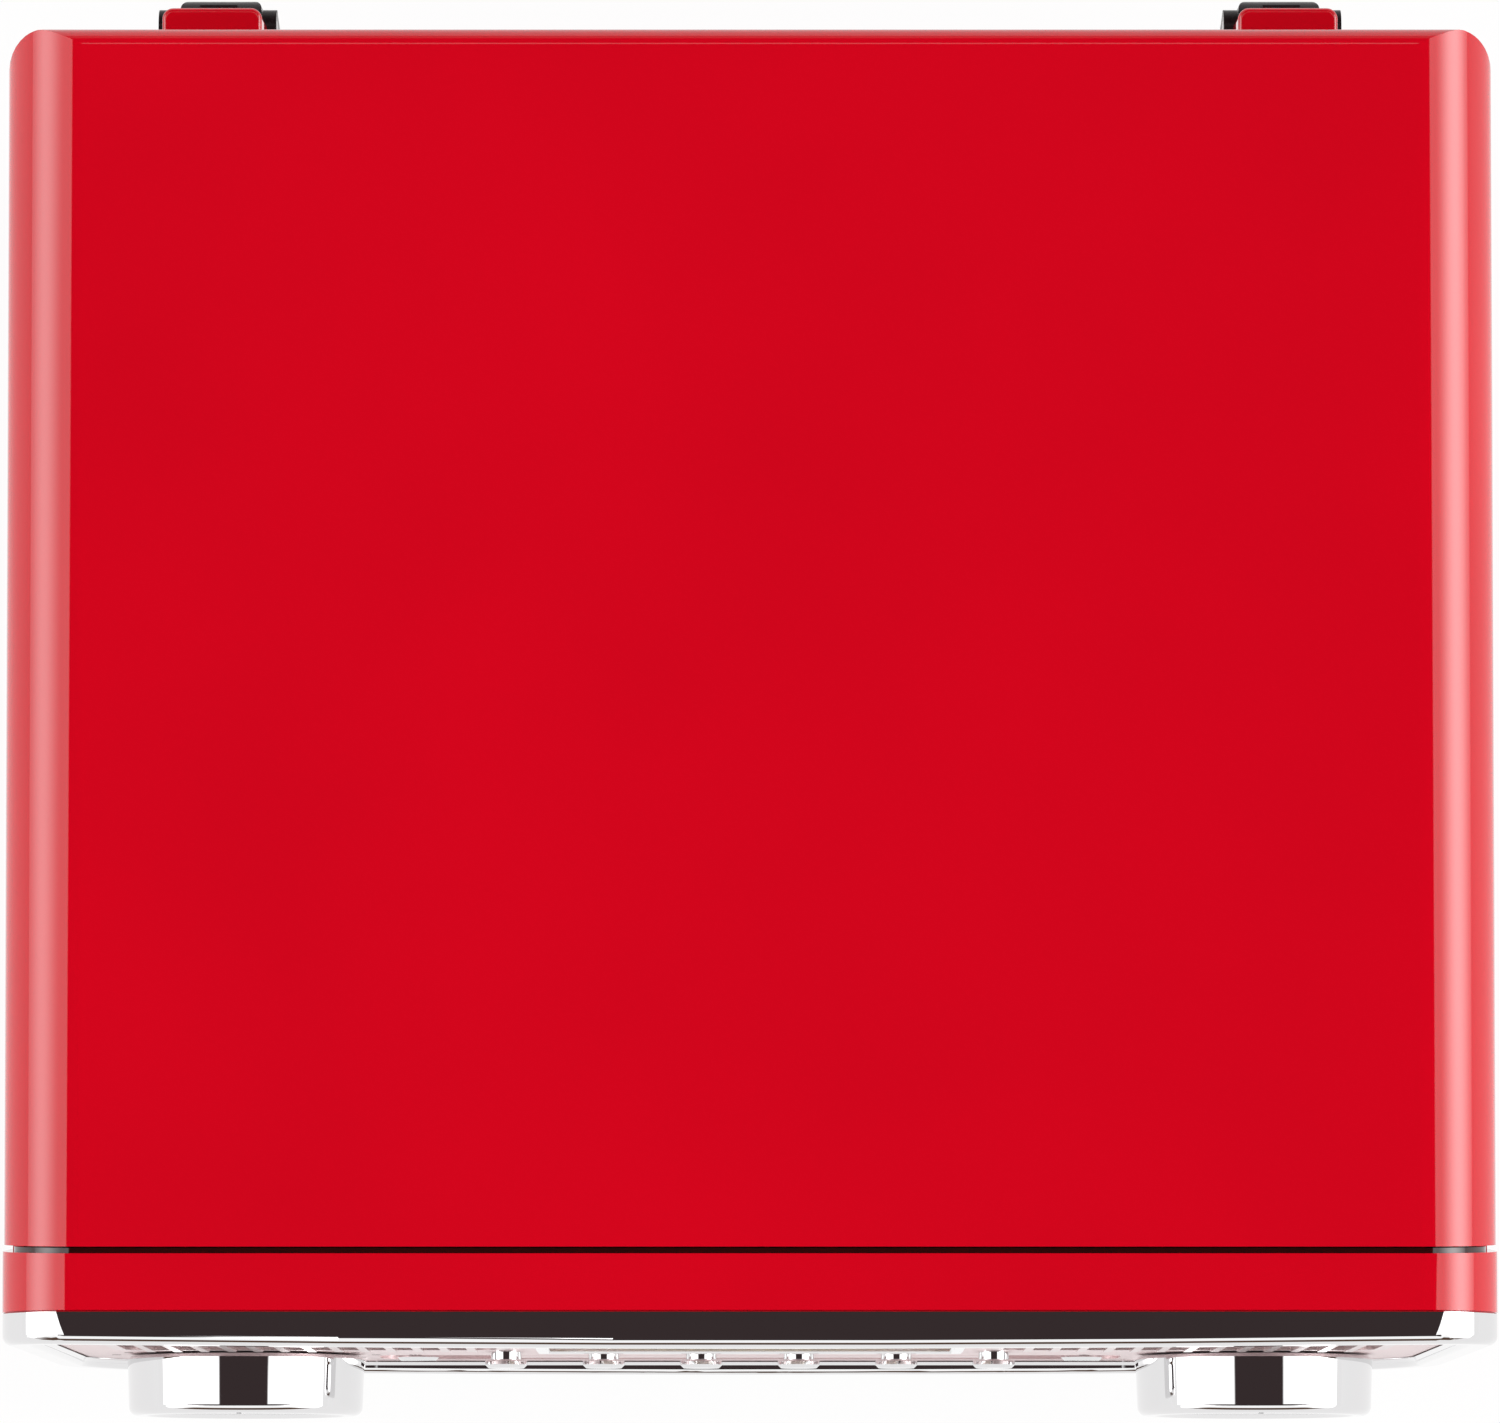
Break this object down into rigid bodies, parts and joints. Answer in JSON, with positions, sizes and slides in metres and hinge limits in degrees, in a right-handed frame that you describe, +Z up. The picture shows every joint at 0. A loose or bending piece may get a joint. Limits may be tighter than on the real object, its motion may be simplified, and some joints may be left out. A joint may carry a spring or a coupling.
{
  "type": "tabletop record player",
  "caption": "Tabletop record player in a rounded gloss cabinet with hinged lid, chrome bezel, big chrome knobs, tuning dial, push buttons and CD drawer.",
  "frame": {"origin": "on the table, under the middle of the whole object's box", "axes": "+Z up, front with the knobs towards -Y, lid hinges towards +Y, +X to the right seen from the front"},
  "size_m": [0.4058, 0.3999, 0.23],
  "materials": {
    "red_gloss": "high gloss red lacquer",
    "chrome": "mirror chrome plating",
    "panel": "pale rose satin panel",
    "black_plastic": "fine satin black",
    "deck_plastic": "satin black",
    "rubber": "matt",
    "slip_mat": "felt",
    "cloth": "woven speaker cloth",
    "speaker": "pressed basket and paper cone",
    "lens": "clear",
    "dial_face": "cream dial face",
    "needle": "red pointer",
    "steel": "bright steel",
    "brass": "plated brass",
    "circuit": "green board",
    "cartridge": "red moulding"
  },
  "bodies": {
    "base": {"cabinet_shell": "red_gloss", "bottom_cover": "black_plastic", "rubber_feet": "rubber", "front_frame": "red_gloss", "chrome_bezel": "chrome", "gap_trim": "chrome", "front_panel": "panel", "speaker_grilles": "chrome", "speaker_cloth": "cloth", "speaker_left": "speaker", "speaker_right": "speaker", "dial_bezel": "chrome", "dial_lens": "lens", "dial_plate": "dial_face", "control_pots": "steel", "button_board": "circuit", "cd_mechanism": "black_plastic", "deck": "deck_plastic", "bearing_bush": "steel", "motor": "steel", "drive_belt": "rubber", "tonearm_pedestal": "deck_plastic", "hinge_bracket_left": "black_plastic", "hinge_bracket_right": "black_plastic", "hinge_pins": "steel", "lid_buffers": "rubber", "rca_jacks": "brass", "aux_jack": "black_plastic", "power_inlet": "black_plastic", "main_board": "circuit", "case_screws": "steel"},
    "lid": {"lid": "red_gloss", "hinge_leaf_left": "black_plastic", "hinge_leaf_right": "black_plastic"},
    "turntable": {"platter": "deck_plastic", "spindle": "chrome", "slip_mat": "slip_mat"},
    "pulley": {"motor_pulley": "brass"},
    "arm_base": {"tonearm_turret": "deck_plastic"},
    "arm": {"tonearm_tube": "chrome", "counterweight": "chrome", "headshell": "black_plastic", "cartridge": "cartridge"},
    "cue_lever": {"cue_lever": "deck_plastic"},
    "cue_lift": {"cue_lift": "deck_plastic"},
    "speed_lever": {"speed_lever": "deck_plastic"},
    "stop_switch": {"stop_switch": "deck_plastic"},
    "volume_knob": {"volume_knob": "chrome"},
    "tuning_knob": {"tuning_knob": "chrome"},
    "needle": {"dial_needle": "needle"},
    "tray": {"cd_tray": "black_plastic", "tray_door": "panel"},
    "source_button": {"source_button": "chrome"},
    "back_button": {"back_button": "chrome"},
    "play_button": {"play_button": "chrome"},
    "stop_button": {"stop_button": "chrome"},
    "next_button": {"next_button": "chrome"},
    "memory_button": {"memory_button": "chrome"},
    "power_button": {"power_button": "chrome"},
    "eject_button": {"eject_button": "chrome"}
  },
  "joints": [
    {"name": "lid_hinge", "type": "hinge", "parent": "base", "child": "lid", "pos_m": [0, 0.1927, 0.17], "axis": [-1, 0, 0], "range_deg": [0, 75]},
    {"name": "platter_spin", "type": "hinge", "parent": "base", "child": "turntable", "pos_m": [-0.042, 0.02, 0.18], "axis": [0, 0, -1], "continuous": true},
    {"name": "pulley_spin", "type": "hinge", "parent": "base", "child": "pulley", "pos_m": [-0.10352, 0.08152, 0.18], "axis": [0, 0, -1], "continuous": true},
    {"name": "arm_swing", "type": "hinge", "parent": "base", "child": "arm_base", "pos_m": [0.148, 0.128, 0.19], "axis": [0, 0, -1], "range_deg": [0, 46]},
    {"name": "arm_lift", "type": "hinge", "parent": "arm_base", "child": "arm", "pos_m": [0.148, 0.128, 0.203], "axis": [-1, 0, 0], "range_deg": [0, 4]},
    {"name": "cue_lever_turn", "type": "hinge", "parent": "base", "child": "cue_lever", "pos_m": [0.1815, 0.096, 0.186], "axis": [-1, 0, 0], "range_deg": [0, 30]},
    {"name": "cue_lift_rise", "type": "slide", "parent": "base", "child": "cue_lift", "axis": [0, 0, 1], "range_m": [0, 0.0025]},
    {"name": "speed_select", "type": "hinge", "parent": "base", "child": "speed_lever", "pos_m": [0.1785, -0.062, 0.177], "axis": [0, 0, -1], "range_deg": [-25, 25]},
    {"name": "stop_select", "type": "slide", "parent": "base", "child": "stop_switch", "axis": [0, 1, 0], "range_m": [0, 0.004]},
    {"name": "volume_turn", "type": "hinge", "parent": "base", "child": "volume_knob", "pos_m": [-0.146, -0.17994, 0.0675], "axis": [0, 0.9971, -0.0755], "range_deg": [-150, 150]},
    {"name": "tuning_turn", "type": "hinge", "parent": "base", "child": "tuning_knob", "pos_m": [0.146, -0.17994, 0.0675], "axis": [0, 0.9971, -0.0755], "range_deg": [-270, 270]},
    {"name": "needle_turn", "type": "hinge", "parent": "base", "child": "needle", "pos_m": [0, -0.16889, 0.12082], "axis": [0, 0.9971, -0.0755], "range_deg": [-75.5, 75.5]},
    {"name": "source_press", "type": "slide", "parent": "base", "child": "source_button", "axis": [0, 0.9971, -0.0755], "range_m": [0, 0.0018], "stiffness_N_per_m": 400, "springref_m": -0.001},
    {"name": "back_press", "type": "slide", "parent": "base", "child": "back_button", "axis": [0, 0.9971, -0.0755], "range_m": [0, 0.0018], "stiffness_N_per_m": 400, "springref_m": -0.001},
    {"name": "play_press", "type": "slide", "parent": "base", "child": "play_button", "axis": [0, 0.9971, -0.0755], "range_m": [0, 0.0018], "stiffness_N_per_m": 400, "springref_m": -0.001},
    {"name": "stop_press", "type": "slide", "parent": "base", "child": "stop_button", "axis": [0, 0.9971, -0.0755], "range_m": [0, 0.0018], "stiffness_N_per_m": 400, "springref_m": -0.001},
    {"name": "next_press", "type": "slide", "parent": "base", "child": "next_button", "axis": [0, 0.9971, -0.0755], "range_m": [0, 0.0018], "stiffness_N_per_m": 400, "springref_m": -0.001},
    {"name": "memory_press", "type": "slide", "parent": "base", "child": "memory_button", "axis": [0, 0.9971, -0.0755], "range_m": [0, 0.0018], "stiffness_N_per_m": 400, "springref_m": -0.001},
    {"name": "power_press", "type": "slide", "parent": "base", "child": "power_button", "axis": [0, 0.9971, -0.0755], "range_m": [0, 0.0018], "stiffness_N_per_m": 400, "springref_m": -0.001},
    {"name": "eject_press", "type": "slide", "parent": "base", "child": "eject_button", "axis": [0, 0.9971, -0.0755], "range_m": [0, 0.0018], "stiffness_N_per_m": 400, "springref_m": -0.001},
    {"name": "tray_slide", "type": "slide", "parent": "base", "child": "tray", "axis": [0, -1, 0], "range_m": [0, 0.128]}
  ],
  "couplings": [
    {"joint": "pulley_spin", "follows": "platter_spin", "ratio": 13.909},
    {"joint": "needle_turn", "follows": "tuning_turn", "ratio": 0.27778},
    {"joint": "cue_lever_turn", "follows": "cue_lift_rise", "rad_per_m": 209.23}
  ]
}
